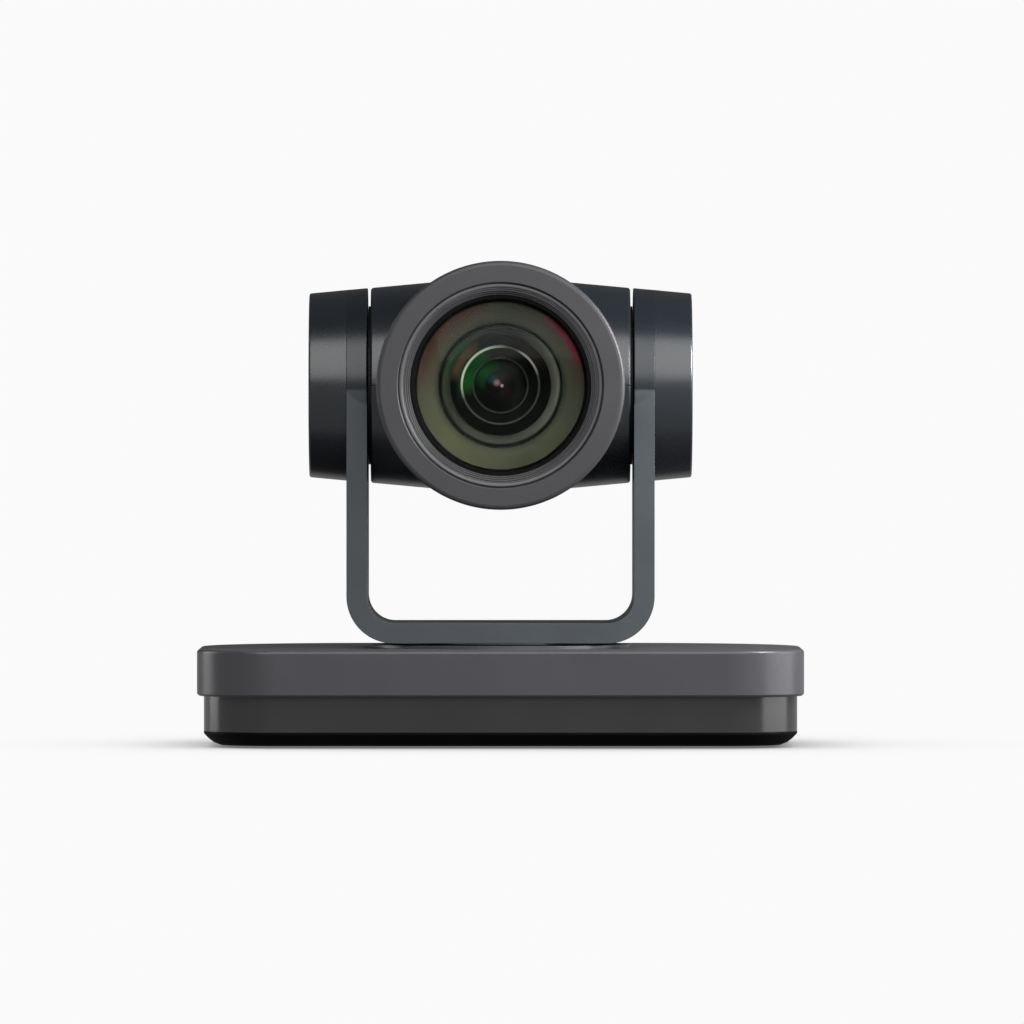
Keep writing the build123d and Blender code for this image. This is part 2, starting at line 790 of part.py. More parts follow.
def tilt_pinion():
    at = (0, tilt_height + tilt_centre_distance)
    turn = 180 + 180 / tilt_pinion_teeth
    gear = spur_gear(tilt_pinion_teeth, tilt_module, tilt_face_width, 0, turn)
    pinion = Pos(tilt_gear_start, at[0], at[1]) * upright(gear)
    return pinion + rod(tilt_motor_shaft, cup_inside + 1.2, tilt_gear_start + 1, "X", at)


def upright(gear):
    """Turns a gear from Z to X, so that its zero angle points up."""
    return Rot(0, 90, 0) * Rot(0, 0, 180) * gear


def yoke_flex_cable():
    top = tilt_height - cover_reach
    strip = u_band(cable_seat, cable_seat + cable_thick, cable_half, top)
    strip &= block((-arm_outer, cable_drop + cable_thick), (-cable_half, cable_half), (bar_low, top))
    low = shaft_low + 1
    level = bar_top - cable_seat
    drop = block((cable_drop, cable_drop + cable_thick), (-cable_half + 1.5, cable_half - 1.5), (low, level))
    outside = arm_inner + cable_seat
    tail = block((-outside - cable_tail, -outside), (-cable_half, cable_half), (top - cable_thick - 0.1, top - 0.1))
    return strip + drop + tail


# ---------------------------------------------------------------- head

def head_form(shrink):
    """The head's outside, or its cavity when shrink is the wall: a tapered drum and a nose."""
    end = head_half - shrink
    rim = drum_r(head_half) - shrink
    bend = drum_r(drum_crown) - shrink
    crown = bend + drum_crown * math.tan(math.atan(drum_taper) / 2)
    edge = drum_edge if shrink == 0 else 0.3
    lines = [Line((-end + edge, rim), (-drum_crown, bend)),
             ThreePointArc((-drum_crown, bend), (0, crown), (drum_crown, bend)),
             Line((drum_crown, bend), (end - edge, rim)),
             Line((end - edge, rim), (end, rim - edge)),
             Line((end, rim - edge), (end, 0)),
             Line((end, 0), (-end, 0)),
             Line((-end, 0), (-end, rim - edge)),
             Line((-end, rim - edge), (-end + edge, rim))]
    drum = revolve(make_face(lines), axis=Axis.X)
    front = -nose_front - (1 if shrink else 0)
    nose = turned([(front, 0), (front, nose_front_radius - shrink),
                   (-nose_back, nose_back_radius - shrink), (-nose_back, 0)], Axis.Y)
    return drum + nose


def head_shell(upper):
    shell = head_form(0) - head_form(head_wall)
    shell -= rod(hub_disc + hub_fit, -head_half - 1, head_half + 1, "X")
    shell &= block((-60, 60), (-60, 60), (seam_gap, 60) if upper else (-60, -seam_gap))
    reach = 40.0
    for x in (-screw_x, screw_x):
        for y in (screw_front, screw_back):
            ends = (seam_gap, reach) if upper else (-reach, -seam_gap)
            column = rod(screw_boss, *ends, at=(x, y)) & head_form(head_wall / 2)
            shell += column
            if upper:
                shell -= rod(screw_shank, seam_gap, seam_gap + 8, at=(x, y))
            else:
                shell -= rod(screw_shank, -screw_head_drop, 0, at=(x, y))
                shell -= rod(screw_well, -reach, -screw_head_drop, at=(x, y))
    if upper:
        for i in range(vent_count):
            x = (i - (vent_count - 1) / 2) * vent_pitch
            slot = block((x - vent_width / 2, x + vent_width / 2), (15, 60), (vent_low, vent_high))
            shell -= slot
    return Pos(0, 0, tilt_height) * shell


def head_screws():
    screws = []
    for x in (-screw_x, screw_x):
        for y in (screw_front, screw_back):
            screw = rod(screw_head_radius, -screw_head_drop - 1.6, -screw_head_drop, at=(x, y))
            screw += rod(screw_shank, -screw_head_drop, 7.5, at=(x, y))
            screw -= Pos(x, y, -screw_head_drop - 1.6) * Box(2.4, 0.6, 1.4)
            screw -= Pos(x, y, -screw_head_drop - 1.6) * Box(0.6, 2.4, 1.4)
            screws.append(Pos(0, 0, tilt_height) * screw)
    return screws


def lens_turned(points):
    return Pos(0, 0, tilt_height) * turned([(-a, r) for a, r in points], Axis.Y)


def nose_room(y):
    """Inside radius of the nose at a distance y in front of the tilt axis."""
    share = (y - nose_back) / (nose_front - nose_back)
    return nose_back_radius + share * (nose_front_radius - nose_back_radius) - head_wall


def front_ring():
    ring_sleeve = nose_room(ring_sleeve_back) - sleeve_gap
    points = [(ring_front, ring_bore + 0.3), (ring_front - 0.3, ring_bore), (ring_sleeve_back, ring_bore),
              (ring_sleeve_back, ring_sleeve), (nose_front, ring_sleeve), (nose_front, nose_front_radius + 0.1),
              (ring_back, nose_front_radius + 0.1), (ring_back, ring_radius - 0.4),
              (ring_back + 0.4, ring_radius), (ring_front - ring_edge, ring_radius),
              (ring_front - 0.44 * ring_edge, ring_radius - 0.16 * ring_edge),
              (ring_front - 0.14 * ring_edge, ring_radius - 0.5 * ring_edge),
              (ring_front, ring_radius - ring_edge)]
    return lens_turned(points)


def bead_ring():
    mid = (bead_bore + ring_bore) / 2
    outer = ring_bore - 0.1
    points = [(bead_back, bead_bore), (bead_front - 0.5, bead_bore), (bead_front - 0.1, bead_bore + 0.3),
              (bead_front, mid - 0.2), (bead_front, mid + 0.2), (bead_front - 0.1, outer - 0.4),
              (bead_front - 0.6, outer), (bead_back, outer)]
    return lens_turned(points)


def hood_ring():
    outer = bead_bore - 0.05
    step = (outer - 0.3 - hood_bore) / hood_ribs
    points = [(hood_back, outer), (hood_front, outer), (hood_front, outer - 0.3)]
    for i in range(hood_ribs):
        top = outer - 0.3 - i * step
        depth = hood_front - 1.0 * i
        points += [(depth - 0.7, top - 0.1), (depth - 0.7, top - 0.55 * step), (depth - 0.2, top - 0.6 * step),
                   (depth - 0.25, top - step)]
    points += [(hood_back, hood_bore)]
    return lens_turned(points)


def lens_barrel():
    seat = glass_radius + 0.02
    outer = hood_bore - 0.1
    points = [(barrel_front, outer), (barrel_front, seat + 0.8), (glass_edge + 0.4, seat), (glass_back, seat),
              (glass_back, seat - 2), (barrel_step + 2, barrel_radius - barrel_wall - 1),
              (barrel_step + 2, barrel_radius - barrel_wall),
              (-barrel_back, barrel_radius - barrel_wall), (-barrel_back, barrel_radius),
              (barrel_step, barrel_radius), (barrel_step, outer)]
    barrel = lens_turned(points)
    for start in (rod_start, rod_end - rod_seat):
        web = (barrel_radius - barrel_wall + 0.2, cell_bore - 1.0, start, start + rod_seat)
        barrel += pipe(*web, "Y", (0, tilt_height))
    for x in (-rod_circle, rod_circle):
        barrel -= rod(rod_radius, rod_start, rod_end, "Y", (x, tilt_height))
    return barrel


def dome(radius, apex, edge):
    """Half of a spherical face's section, from its apex on the lens axis out to its edge."""
    sag = edge - apex
    ball = (radius ** 2 + sag ** 2) / (2 * sag)
    middle = radius / 2
    drop = ball - math.copysign(math.sqrt(ball ** 2 - middle ** 2), ball)
    return ThreePointArc((0, apex), (middle, apex + drop), (radius, edge))


def element(radius, front_apex, front_edge, back_edge, back_apex):
    """A lens element on the lens axis, from its four places along Y."""
    lines = [dome(radius, front_apex, front_edge), Line((radius, front_edge), (radius, back_edge)),
             dome(radius, back_apex, back_edge), Line((0, back_apex), (0, front_apex))]
    return Pos(0, 0, tilt_height) * revolve(make_face(lines), axis=Axis.Y)


def front_lens():
    return element(glass_radius, -glass_front, -glass_edge, -glass_back, -glass_back - glass_hollow)


def guide_rods():
    return [rod(rod_radius, rod_start, rod_end, "Y", (x, tilt_height)) for x in (-rod_circle, rod_circle)]


def cell(start, length, pins):
    body = pipe(cell_radius, cell_bore, start, start + length, "Y", (0, 0))
    for x in (-rod_circle, rod_circle):
        body -= rod(rod_radius + running_fit, start, start + length, "Y", (x, 0))
    if pins:
        for angle in (90, 210, 330):
            pin = Pos(0, start + length / 2, (cell_bore + 1 + cam_radius - 0.3) / 2)
            pin = pin * Cylinder(cam_pin, cam_radius - 0.3 - cell_bore - 1)
            body += Rot(0, angle - 90, 0) * pin
    return Pos(0, 0, tilt_height) * body


def lens_group(start, length, swell):
    """An element in a cell: bi-convex, or bi-concave when swell is negative."""
    low = start + lens_recess
    high = start + length - lens_recess
    return element(cell_bore, low - swell, low, high, high + swell)


def zoom_cam_ring():
    ring = pipe(cam_radius, cam_radius - cam_wall, cam_start, cam_start + cam_length, "Y", (0, 0))
    steps = 20
    tools = []
    for base_angle in (90, 210, 330):
        for i in range(steps + 1):
            share = i / steps
            y = variator_start + cell_length / 2 + share * variator_travel
            spot = Pos(0, y, cam_radius - cam_wall / 2) * Cylinder(cam_slot, cam_wall + 2)
            tools.append(Rot(0, base_angle - 90 + cam_angle(share), 0) * spot)
    return Pos(0, 0, tilt_height) * (ring - tools)


def cam_angle(share):
    """Angle of the slot from the pin's rest place, for a share of the variator's travel."""
    return -cam_turn * share


def iris_unit():
    body = pipe(barrel_radius - barrel_wall - 0.02, iris_hole, iris_start, iris_start + iris_thick, "Y")
    for x in (-rod_circle, rod_circle):
        body -= rod(rod_radius + 0.1, iris_start, iris_start + iris_thick, "Y", (x, 0))
    return Pos(0, 0, tilt_height) * body


def lens_chassis():
    ring = pipe(chassis_ring, barrel_radius, -chassis_half, chassis_half, "Y")
    for side in (-1, 1):
        ends = sorted((side * (chassis_ring - 1.5), side * hub_inner))
        ring += block(ends, (-chassis_half, chassis_half), (-chassis_half, chassis_half))
    return Pos(0, 0, tilt_height) * ring


def sensor_board():
    y = (barrel_back, barrel_back + sensor_board_thick)
    return Pos(0, 0, tilt_height) * block((-20, 20), y, (-16, 16))


def image_sensor():
    y = (barrel_back - 2.0, barrel_back)
    return Pos(0, 0, tilt_height) * block((-6.5, 6.5), y, (-5, 5))


def tilt_hub(side):
    outer = arm_inner - hub_gap
    disc = rod(hub_disc, *sorted((side * hub_inner, side * outer)), "X")
    shaft = rod(tilt_shaft, *sorted((side * hub_inner, side * tilt_shaft_end)), "X")
    bore = rod(tilt_shaft_bore, *sorted((side * hub_inner, side * tilt_shaft_end)), "X")
    return Pos(0, 0, tilt_height) * (disc + shaft - bore)


def tilt_gear():
    gear = spur_gear(tilt_gear_teeth, tilt_module, tilt_face_width, tilt_shaft)
    for turn in range(5):
        angle = math.radians(72 * turn + 36)
        gear -= rod(2.2, 0, tilt_face_width, at=(10.4 * math.cos(angle), 10.4 * math.sin(angle)))
    return Pos(tilt_gear_start, 0, tilt_height) * upright(gear)


pieces = {
    "base_top_cover": base_top_cover(),
    "base_skirt": base_skirt(),
    "base_bottom_pan": base_bottom_pan(),
    "rubber_feet": rubber_feet(),
    "base_screws": base_screws(),
    "tripod_insert": tripod_insert(),
    "connector_panel": connector_panel(),
    "main_board": main_board(),
    "lan_socket": lan_socket(),
    "usb_socket": box_socket(usb_x, usb_size, 11.0),
    "hdmi_socket": box_socket(hdmi_x, hdmi_size, 10.5),
    "sdi_socket": sdi_socket(),
    "serial_socket": serial_socket(),
    "audio_socket": round_socket(audio_x, audio_radius, audio_bore, 0),
    "power_socket": round_socket(power_x, power_radius, power_bore, power_pin),
    "rocker_frame": rocker_frame(),
    "power_rocker": power_rocker(),
    "dial_housing": dial_housing(),
    "format_dial": format_dial(),
    "pan_bracket": pan_bracket(),
    "pan_bearings": pan_bearings(),
    "pan_motor": pan_motor(),
    "pan_pinion": pan_pinion(),
    "infrared_receiver": infrared_receiver(),
    "status_light": status_light(),
    "yoke_frame": yoke_frame(),
    "yoke_inner_cover": yoke_inner_cover(),
    "turntable_collar": turntable_collar(),
    "pan_shaft": pan_shaft(),
    "pan_gear": pan_gear(),
    "left_end_shell": end_shell(-1),
    "right_end_shell": end_shell(1),
    "left_end_lid": end_lid(-1),
    "right_end_lid": end_lid(1),
    "tilt_bearings": tilt_bearings(),
    "tilt_motor": tilt_motor(),
    "tilt_pinion": tilt_pinion(),
    "yoke_flex_cable": yoke_flex_cable(),
    "yoke_cover_screws": yoke_cover_screws(),
    "head_upper_shell": head_shell(True),
    "head_lower_shell": head_shell(False),
    "head_screws": head_screws(),
    "front_ring": front_ring(),
    "bead_ring": bead_ring(),
    "hood_ring": hood_ring(),
    "lens_barrel": lens_barrel(),
    "front_lens": front_lens(),
    "guide_rods": guide_rods(),
    "variator_cell": cell(variator_start, cell_length, True),
    "variator_lens": lens_group(variator_start, cell_length, -0.9),
    "focus_cell": cell(focus_start, focus_length, False),
    "focus_lens": lens_group(focus_start, focus_length, 0.8),
    "zoom_cam_ring": zoom_cam_ring(),
    "iris_unit": iris_unit(),
    "lens_chassis": lens_chassis(),
    "sensor_board": sensor_board(),
    "image_sensor": image_sensor(),
    "left_tilt_hub": tilt_hub(-1),
    "right_tilt_hub": tilt_hub(1),
    "tilt_gear": tilt_gear(),
}

os.makedirs("parts", exist_ok=True)
for name, shape in pieces.items():
    solids = shape if isinstance(shape, list) else shape.solids()
    solids = [s for item in solids for s in item.solids()]
    export_step(Compound(children=solids) if len(solids) > 1 else solids[0], f"parts/{name}.step")
print(len(pieces), "nodes written")
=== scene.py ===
import json
import math
import bmesh
import bpy
import numpy as np
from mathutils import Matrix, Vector


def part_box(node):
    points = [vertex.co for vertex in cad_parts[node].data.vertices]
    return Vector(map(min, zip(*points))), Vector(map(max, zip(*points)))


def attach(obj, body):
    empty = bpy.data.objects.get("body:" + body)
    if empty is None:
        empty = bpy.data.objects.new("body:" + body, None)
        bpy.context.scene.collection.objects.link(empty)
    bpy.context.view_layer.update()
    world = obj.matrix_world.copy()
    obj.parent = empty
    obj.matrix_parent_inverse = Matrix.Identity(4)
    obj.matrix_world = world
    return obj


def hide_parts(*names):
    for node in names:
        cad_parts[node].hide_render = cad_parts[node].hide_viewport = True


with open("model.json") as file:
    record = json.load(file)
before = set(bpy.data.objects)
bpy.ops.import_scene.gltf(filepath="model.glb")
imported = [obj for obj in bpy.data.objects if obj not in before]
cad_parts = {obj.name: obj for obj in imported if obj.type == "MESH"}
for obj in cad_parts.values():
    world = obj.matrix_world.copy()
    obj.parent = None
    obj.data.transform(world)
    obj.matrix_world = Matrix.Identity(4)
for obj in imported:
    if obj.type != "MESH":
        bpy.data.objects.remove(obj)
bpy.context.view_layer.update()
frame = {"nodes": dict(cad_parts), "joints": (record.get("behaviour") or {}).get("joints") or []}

print("stage 1: frame loaded, nodes", len(frame["nodes"]))

mm = 0.001
nodes = frame["nodes"]
tiltZ = [j for j in frame["joints"] if j["name"] == "tilt_turn"][0]["pos_m"][2]
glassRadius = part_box("front_lens")[1].x
panelWall = 1.6 * mm
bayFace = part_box("connector_panel")[0].y + panelWall


# Clears a material and returns its node tree and shader, joined to its output.
def nodeGroup(material):
    material.use_nodes = True
    tree = material.node_tree
    tree.nodes.clear()
    output = tree.nodes.new("ShaderNodeOutputMaterial")
    shader = tree.nodes.new("ShaderNodeBsdfPrincipled")
    tree.links.new(shader.outputs["BSDF"], output.inputs["Surface"])
    return tree, shader


def addNoise(tree, place, scale, detail=4.0, rough=0.55):
    noise = tree.nodes.new("ShaderNodeTexNoise")
    noise.inputs["Scale"].default_value = scale
    noise.inputs["Detail"].default_value = detail
    noise.inputs["Roughness"].default_value = rough
    tree.links.new(place, noise.inputs["Vector"])
    return noise.outputs["Fac"]


# Carries a value from the span start..end to the span low..high, and stops at its ends.
def addRange(tree, value, low, high, start=0.0, end=1.0):
    span = tree.nodes.new("ShaderNodeMapRange")
    span.inputs["From Min"].default_value = start
    span.inputs["From Max"].default_value = end
    span.inputs["To Min"].default_value = low
    span.inputs["To Max"].default_value = high
    tree.links.new(value, span.inputs["Value"])
    return span.outputs["Result"]


def addMath(tree, kind, first, second):
    node = tree.nodes.new("ShaderNodeMath")
    node.operation = kind
    for socket, value in zip(node.inputs, (first, second)):
        if isinstance(value, (int, float)):
            socket.default_value = value
        else:
            tree.links.new(value, socket)
    return node.outputs["Value"]


def addMix(tree, share, first, second):
    mix = tree.nodes.new("ShaderNodeMix")
    mix.data_type = "RGBA"
    tree.links.new(share, mix.inputs[0])
    for socket, value in ((mix.inputs[6], first), (mix.inputs[7], second)):
        if isinstance(value, tuple):
            socket.default_value = (*value, 1.0)
        else:
            tree.links.new(value, socket)
    return mix.outputs[2]


# 1 on the drum's upper part, 0 on the arms: the yoke's paint changes in a short fade just below the
# tilt axis, where the arms grow out of the drum.
drumEdge = {"below": 1.6 * mm, "fade": 0.5 * mm}


def onDrum(tree, place):
    split = tree.nodes.new("ShaderNodeSeparateXYZ")
    tree.links.new(place, split.inputs["Vector"])
    middle, fade = tiltZ - drumEdge["below"], drumEdge["fade"]
    return addRange(tree, split.outputs["Z"], 0.0, 1.0, middle - fade, middle + fade)


# How much an edge is rubbed: 0 on flat faces and 1 where the normal of a small bevel turns away
# from the face's own, held back where the cloud is thin. Gives the bevel's normal too.
def edgeRub(tree, cloud, radius):
    bevel = tree.nodes.new("ShaderNodeBevel")
    bevel.samples = 4
    bevel.inputs["Radius"].default_value = radius
    geometry = tree.nodes.new("ShaderNodeNewGeometry")
    dot = tree.nodes.new("ShaderNodeVectorMath")
    dot.operation = "DOT_PRODUCT"
    tree.links.new(bevel.outputs["Normal"], dot.inputs[0])
    tree.links.new(geometry.outputs["Normal"], dot.inputs[1])
    edge = addRange(tree, dot.outputs["Value"], 1.0, 0.0, 0.75, 0.99)
    rub = addMath(tree, "MULTIPLY", edge, addRange(tree, cloud, 0.0, 1.0, 0.40, 0.62))
    return rub, bevel.outputs["Normal"]


# Joins a height and a normal into the shader as a fine bump.
def addBump(tree, shader, height, strength, distance, normal=None):
    bump = tree.nodes.new("ShaderNodeBump")
    bump.inputs["Strength"].default_value = strength
    bump.inputs["Distance"].default_value = distance
    tree.links.new(height, bump.inputs["Height"])
    if normal:
        tree.links.new(normal, bump.inputs["Normal"])
    tree.links.new(bump.outputs["Normal"], shader.inputs["Normal"])


# What every finish has unless its own row says otherwise. edge and height are in millimetres,
# spread and fuzz are the share by which colour and roughness wander.
usual = dict(grain=2600.0, cloud=35.0, edge=0.35, spread=0.10, speck=0.25, wear=1.35, fuzz=0.12,
             bump=0.12, height=0.02, metal=0.0, ior=1.5, shine=0.5, coat=0.0, coatRough=0.15)


# Moulded, painted or metal finish: fine grain in the bump, slow and fine changes of
# colour and roughness, and a lighter rub along the edges.
def makeFinish(name, row):
    look = {**usual, **row}
    material = bpy.data.materials.new(name)
    tree, shader = nodeGroup(material)
    place = tree.nodes.new("ShaderNodeTexCoord").outputs["Object"]
    grain = addNoise(tree, place, look["grain"], 3.0)
    cloud = addNoise(tree, place, look["cloud"], 4.0)
    rub, rounded = edgeRub(tree, cloud, look["edge"] * mm)
    color, rough, fuzz = look["color"], look["rough"], look["fuzz"]
    darker = tuple(c * (1.0 - look["spread"]) for c in color)
    lighter = tuple(c * (1.0 + look["spread"]) for c in color)
    worn = tuple(min(1.0, c * look["wear"] + 0.004) for c in color)
    base = addMix(tree, addRange(tree, cloud, 0.0, 1.0, 0.3, 0.7), darker, lighter)
    speck = addMix(tree, addRange(tree, grain, 0.0, look["speck"], 0.45, 0.75), base, lighter)
    finished = addMix(tree, rub, speck, worn)
    slow, fine = addMath(tree, "MULTIPLY", cloud, 0.6), addMath(tree, "MULTIPLY", grain, 0.4)
    both = addMath(tree, "ADD", slow, fine)
    roughness = addRange(tree, both, rough * (1 - fuzz), rough * (1 + fuzz), 0.3, 0.7)
    roughness = addMath(tree, "ADD", roughness, addMath(tree, "MULTIPLY", rub, 0.05))
    if "drumColor" in look:
        share = onDrum(tree, place)
        finished = addMix(tree, share, finished, look["drumColor"])
        gloss = addMath(tree, "MULTIPLY", share, look["drumRough"] - rough)
        roughness = addMath(tree, "ADD", roughness, gloss)
    tree.links.new(finished, shader.inputs["Base Color"])
    tree.links.new(roughness, shader.inputs["Roughness"])
    addBump(tree, shader, grain, look["bump"], look["height"] * mm, rounded)
    shader.inputs["Metallic"].default_value = look["metal"]
    shader.inputs["IOR"].default_value = look["ior"]
    shader.inputs["Specular IOR Level"].default_value = look["shine"]
    shader.inputs["Coat Weight"].default_value = look["coat"]
    shader.inputs["Coat Roughness"].default_value = look["coatRough"]
    return material


finishes = {
    "satinGrey": dict(color=(0.078, 0.077, 0.086), rough=0.29, bump=0.08, spread=0.05,
                      fuzz=0.08, edge=0.22, shine=0.40),
    "ringGrey": dict(color=(0.046, 0.045, 0.050), rough=0.46, bump=0.10),
    "drumGrey": dict(color=(0.0105, 0.0138, 0.0180), rough=0.28, bump=0.015, shine=0.75),
    "yokeGrey": dict(color=(0.055, 0.064, 0.072), rough=0.42, bump=0.08, shine=0.5,
                     drumColor=(0.0105, 0.0138, 0.0180), drumRough=0.28),
    "windowDark": dict(color=(0.024, 0.024, 0.024), rough=0.18, shine=0.90, bump=0.03, grain=900.0),
    "panBlack": dict(color=(0.0012, 0.0012, 0.0013), rough=0.60, bump=0.20, grain=1800.0,
                     height=0.03, shine=0.08),
    "rubberBlack": dict(color=(0.012, 0.012, 0.012), rough=0.80, bump=0.30, grain=1500.0, height=0.04),
    "innerBlack": dict(color=(0.010, 0.010, 0.011), rough=0.55, bump=0.15),
    "beadMetal": dict(color=(0.105, 0.105, 0.110), rough=0.44, metal=0.1, bump=0.04),
    "hoodGrey": dict(color=(0.095, 0.095, 0.099), rough=0.45, bump=0.06),
    "barrelBlack": dict(color=(0.0015, 0.0015, 0.0016), rough=0.60, bump=0.05, shine=0.1),
    "bareSteel": dict(color=(0.45, 0.45, 0.46), rough=0.30, metal=1.0, bump=0.05),
    "screwBlack": dict(color=(0.035, 0.035, 0.037), rough=0.38, metal=0.8, bump=0.10),
    "brassTurned": dict(color=(0.60, 0.42, 0.18), rough=0.28, metal=1.0, bump=0.05),
    "gearWhite": dict(color=(0.62, 0.61, 0.57), rough=0.45, bump=0.06),
    "boardGreen": dict(color=(0.012, 0.075, 0.035), rough=0.35, bump=0.10, grain=1200.0),
    "socketMetal": dict(color=(0.52, 0.52, 0.53), rough=0.26, metal=1.0, bump=0.05),
    "socketBlack": dict(color=(0.012, 0.012, 0.013), rough=0.42, bump=0.10),
    "flexAmber": dict(color=(0.30, 0.12, 0.02), rough=0.35, bump=0.05),
    "motorMetal": dict(color=(0.30, 0.30, 0.31), rough=0.35, metal=1.0, bump=0.08),
    "contactGold": dict(color=(0.85, 0.58, 0.22), rough=0.24, metal=1.0, bump=0.03),
    "lampAmber": dict(color=(0.42, 0.22, 0.05), rough=0.22, bump=0.02, coat=0.4),
    "meshSteel": dict(color=(0.30, 0.30, 0.31), rough=0.40, metal=0.7, bump=0.03),
}
materials = {name: makeFinish(name, look) for name, look in finishes.items()}

nodeFinish = {
    "base_top_cover": "satinGrey", "base_skirt": "windowDark", "base_bottom_pan": "panBlack",
    "rubber_feet": "rubberBlack", "base_screws": "screwBlack", "tripod_insert": "brassTurned",
    "connector_panel": "innerBlack", "main_board": "boardGreen", "lan_socket": "socketMetal",
    "usb_socket": "socketMetal", "hdmi_socket": "socketMetal", "sdi_socket": "socketMetal",
    "serial_socket": "socketBlack", "audio_socket": "socketBlack", "power_socket": "socketBlack",
    "rocker_frame": "socketBlack", "power_rocker": "socketBlack", "dial_housing": "socketBlack",
    "format_dial": "gearWhite", "pan_bracket": "bareSteel", "pan_bearings": "bareSteel",
    "pan_motor": "motorMetal", "pan_pinion": "brassTurned", "infrared_receiver": "socketBlack",
    "status_light": "gearWhite", "yoke_frame": "yokeGrey", "yoke_inner_cover": "yokeGrey",
    "turntable_collar": "innerBlack", "pan_shaft": "bareSteel", "pan_gear": "gearWhite",
    "left_end_shell": "drumGrey", "right_end_shell": "drumGrey",
    "left_end_lid": "drumGrey", "right_end_lid": "drumGrey", "tilt_bearings": "bareSteel",
    "tilt_motor": "motorMetal", "tilt_pinion": "brassTurned", "yoke_flex_cable": "flexAmber",
    "yoke_cover_screws": "screwBlack", "head_upper_shell": "drumGrey", "head_lower_shell": "drumGrey",
    "head_screws": "screwBlack", "front_ring": "ringGrey", "bead_ring": "beadMetal",
    "hood_ring": "hoodGrey", "lens_barrel": "barrelBlack", "guide_rods": "bareSteel",
    "variator_cell": "barrelBlack", "variator_lens": "barrelBlack", "focus_cell": "barrelBlack",
    "focus_lens": "barrelBlack", "zoom_cam_ring": "beadMetal", "iris_unit": "barrelBlack",
    "lens_chassis": "barrelBlack", "sensor_board": "boardGreen", "image_sensor": "innerBlack",
    "left_tilt_hub": "innerBlack", "right_tilt_hub": "innerBlack", "tilt_gear": "gearWhite",
}
for name, finish in nodeFinish.items():
    mesh = nodes[name].data
    mesh.materials.clear()
    mesh.materials.append(materials[finish])

print("stage 2: finishes", len(materials))


# Puts grids of points (rows, columns, 3) into one mesh of quads. Rows run along the profile,
# columns around. closeU joins the last row to the first, closeV the last column to the first.
def makePiece(name, grids, closeU, closeV, body, finish, replaced=()):
    places, faces, start = [], [], 0
    for points in grids:
        rows, columns = points.shape[:2]
        index = start + np.arange(rows * columns).reshape(rows, columns)
        if closeU:
            index = np.vstack([index, index[:1]])
        if closeV:
            index = np.hstack([index, index[:, :1]])
        corners = (index[:-1, :-1], index[:-1, 1:], index[1:, 1:], index[1:, :-1])
        faces += np.stack(corners, -1).reshape(-1, 4).tolist()
        places += points.reshape(-1, 3).tolist()
        start += rows * columns
    mesh = bpy.data.meshes.new(name)
    mesh.from_pydata(places, [], faces)
    tidyMesh(mesh)
    piece = bpy.data.objects.new(name, mesh)
    bpy.context.scene.collection.objects.link(piece)
    mesh.materials.append(finish)
    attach(piece, body)
    if replaced:
        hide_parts(*replaced)
    return piece


# Joins doubled points at poles and seams, turns faces outwards, and keeps sharp corners sharp.
def tidyMesh(mesh, smoothAngle=38.0):
    work = bmesh.new()
    work.from_mesh(mesh)
    bmesh.ops.remove_doubles(work, verts=work.verts, dist=1e-7)
    bmesh.ops.dissolve_degenerate(work, edges=work.edges, dist=1e-7)
    bmesh.ops.recalc_face_normals(work, faces=work.faces)
    for face in work.faces:
        face.smooth = True
    for edge in work.edges:
        if len(edge.link_faces) == 2 and edge.calc_face_angle(0.0) > math.radians(smoothAngle):
            edge.smooth = False
    work.to_mesh(mesh)
    work.free()


# A surface turned about the lens axis: the point (forward, radius) of the profile is swept
# round, at radius * (cos a, sin a) and y = -forward. The profile is closed on itself.
def lensTurned(name, profile, finish, replaced=(), segments=160, body="head"):
    profile = np.array(profile, float) * mm
    angle = np.linspace(0, 2 * np.pi, segments, endpoint=False)
    forward, radius = profile[:, :1], profile[:, 1:]
    x = radius * np.sin(angle)
    y = -forward + 0 * angle
    z = tiltZ + radius * np.cos(angle)
    return makePiece(name, [np.stack([x, y, z], -1)], True, True, body, finish, replaced)


# Points from a dome's rim to its apex: forward = apex - ball + sqrt(ball^2 - r^2).
def domeProfile(radius, apex, edge, steps=24):
    sag = apex - edge
    ball = (radius ** 2 + sag ** 2) / (2 * sag)
    r = radius * np.sin(np.linspace(np.pi / 2, 0, steps))
    forward = apex - ball + np.sign(ball) * np.sqrt(ball ** 2 - r ** 2)
    return list(zip(forward, r))


# A thin curved shell: the front dome, and behind it the same dome moved back by its thickness.
def capProfile(radius, apex, edge, thick):
    front = domeProfile(radius, apex, edge)
    back = [(f - thick, r) for f, r in reversed(front)]
    return front + back


# Clear lens glass with a very slight haze of dust.
def coatedGlass(name, look):
    material = bpy.data.materials.new(name)
    tree, shader = nodeGroup(material)
    place = tree.nodes.new("ShaderNodeTexCoord").outputs["Object"]
    haze = addNoise(tree, place, 900.0, 5.0, 0.7)
    shader.inputs["Base Color"].default_value = (*look["color"], 1)
    shader.inputs["Transmission Weight"].default_value = 1.0
    shader.inputs["IOR"].default_value = look["ior"]
    shader.inputs["Specular IOR Level"].default_value = look["shine"]
    tree.links.new(addRange(tree, haze, 0.0, look["haze"], 0.45, 0.8), shader.inputs["Roughness"])
    addBump(tree, shader, haze, 0.02, 0.01 * mm)
    return material


